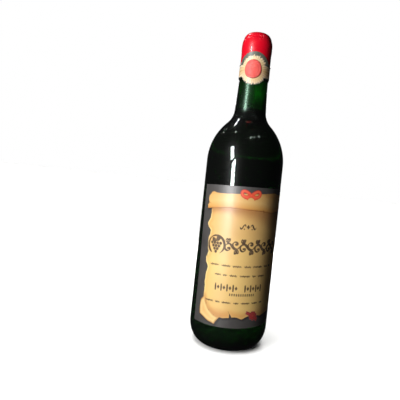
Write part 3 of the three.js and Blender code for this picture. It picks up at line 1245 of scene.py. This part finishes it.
def make_lamp(name, place, size, power, aim, along=Vector((0, 0, 1)), glossy=True):
    """A soft box at a place. It faces the bottle's axis at the height aim, its long side runs
    along a direction, and glossy says whether the bottle mirrors it. Its power is in watts."""
    data = bpy.data.lights.new(name, "AREA")
    data.shape = "RECTANGLE"
    data.size, data.size_y = size
    data.energy = power
    lamp = put(name, data)
    back = (place - Vector((0, 0, aim))).normalized()
    up = (along - back * along.dot(back)).normalized()
    turned = Matrix((up.cross(back), up, back)).transposed().to_4x4()
    lamp.matrix_world = Matrix.Translation(place) @ turned
    lamp.visible_camera = False
    lamp.visible_transmission = False
    lamp.visible_glossy = glossy


def make_floor():
    """A wide pale floor with a lamp of its own, so that it stays as pale as the backdrop."""
    reach = 30
    mesh = bpy.data.meshes.new("floor")
    corners = [(-reach, -reach, 0), (reach, -reach, 0), (reach, reach, 0), (-reach, reach, 0)]
    mesh.from_pydata(corners, [], [(0, 1, 2, 3)])
    mesh.materials.append(matt_floor_paint())
    floor = put("floor", mesh)
    floor.visible_glossy = False
    floor.visible_diffuse = False

    data = bpy.data.lights.new("floor_lamp", "SUN")
    data.energy = 3.6
    data.angle = math.radians(50)
    lamp = put("floor_lamp", data)
    lamp.rotation_euler = (math.radians(8), math.radians(-6), 0)
    lamp.visible_glossy = False
    only_floor = bpy.data.collections.new("floor_only")
    only_floor.objects.link(floor)
    lamp.light_linking.receiver_collection = only_floor


def make_backdrop():
    """White behind the bottle, and dim all round it. Through its glass there is a soft band of
    light a little above level, as from a lamp across the room, and the neck glows with it. The
    band is brightest straight behind the bottle."""
    world = bpy.data.worlds.new("studio")
    bpy.context.scene.world = world
    world.use_nodes = True
    tree = world.node_tree
    tree.nodes.clear()
    rays = add(tree, "LightPath")
    dim, bright, brightest = 0.012, 2.8, 4.6

    # The band lies from about 9 to 16 degrees above level, where a ray's climb is 0.15 to 0.27
    climb = add(tree, "SeparateXYZ", {"Vector": add(tree, "TexCoord").outputs["Generated"]})
    level = add(tree, "MapRange", {
        "Value": climb.outputs["Z"], "From Min": 0.15, "From Max": 0.27,
    })
    band = add(tree, "ValToRGB", {"Fac": level.outputs["Result"]}, stops=[
        (0.0, 0.012), (0.2, 0.1), (0.4, 0.35), (0.57, 1.0), (0.75, 0.4), (1.0, 0.06),
    ])
    # How far a ray goes to the side, from straight behind the bottle
    aside = add(tree, "Math", {0: climb.outputs["X"], 1: 0.02}, operation="SUBTRACT")
    aside = add(tree, "Math", {0: aside.outputs[0]}, operation="ABSOLUTE")
    across = add(tree, "MapRange", {
        "Value": aside.outputs[0], "From Min": 0.03, "From Max": 0.2,
        "To Min": brightest, "To Max": bright,
    }, interpolation_type="SMOOTHSTEP")
    through = add(tree, "MapRange", {
        "Value": band.outputs["Color"], "To Min": 0, "To Max": across.outputs["Result"],
    })
    strength = add(tree, "MapRange", {
        "Value": rays.outputs["Is Transmission Ray"], "To Min": dim,
        "To Max": through.outputs["Result"],
    })
    room = add(tree, "Background", {
        "Color": linear("#F4F6FA"), "Strength": strength.outputs["Result"],
    })
    white = add(tree, "Background", {"Color": linear("#FFFFFF"), "Strength": 1.0})
    mixed = add(tree, "MixShader", {
        0: rays.outputs["Is Camera Ray"], 1: room.outputs[0], 2: white.outputs[0],
    })
    add(tree, "OutputWorld", {"Surface": mixed.outputs[0]})


def make_lights():
    """One tall lamp from the left, as in the photograph, with a slanted one under it, small ones
    from above for the glints on the shoulder, and two behind for its back and its side. The ones
    that the bottle mirrors stand where the photograph's highlights put them."""
    shoulder = 0.2
    upper, lower = around(-61, 0.464, 0.428), around(-53, 0.464, 0.214)
    make_lamp("key_lamp", (upper + lower) / 2, (0.085, 0.215), 1.82, 0.25, upper - lower)
    upper, lower = around(-48, 0.464, 0.206), around(-44.3, 0.464, 0.100)
    make_lamp("low_key_lamp", (upper + lower) / 2, (0.08, 0.11), 1.05, 0.16, upper - lower)
    make_lamp("soft_lamp", around(-54, 0.5, 0.08), (0.25, 0.14), 0.67, 0.05, glossy=False)
    make_lamp("fill_lamp", around(0, 0.9, 0.4), (0.5, 0.5), 0.015, shoulder, glossy=False)
    near, far = around(-124, 0.3, 0.666), around(-147.5, 0.3, 0.705)
    make_lamp("ceiling_strip", (near + far) / 2, (0.025, 0.125), 0.32, shoulder, far - near)
    for angle, height, size, power in (
        (-135.7, 0.644, 0.03, 0.02), (-141.6, 0.704, 0.03, 0.008), (-3.6, 0.978, 0.06, 0.12),
        (14.8, 1.045, 0.05, 0.045), (-82.3, 1.157, 0.06, 0.2), (38.4, 1.065, 0.06, 0.1),
    ):
        make_lamp("ceiling_spot", around(angle, 0.6, height), (size, size), power, shoulder)
    make_lamp("rear_lamp", around(163, 0.6, 0.2), (0.12, 0.6), 3.0, 0.15)
    make_lamp("side_lamp", around(150, 0.8, 0.3), (0.3, 0.5), 0.9, 0.12, glossy=False)


make_camera()
make_backdrop()
make_floor()
make_lights()

make_glass()
make_wine()
make_cork()
make_capsule()
make_main_label()
make_label_print()
make_neck_label()
make_wafer()

bpy.context.scene.view_settings.view_transform = "Standard"
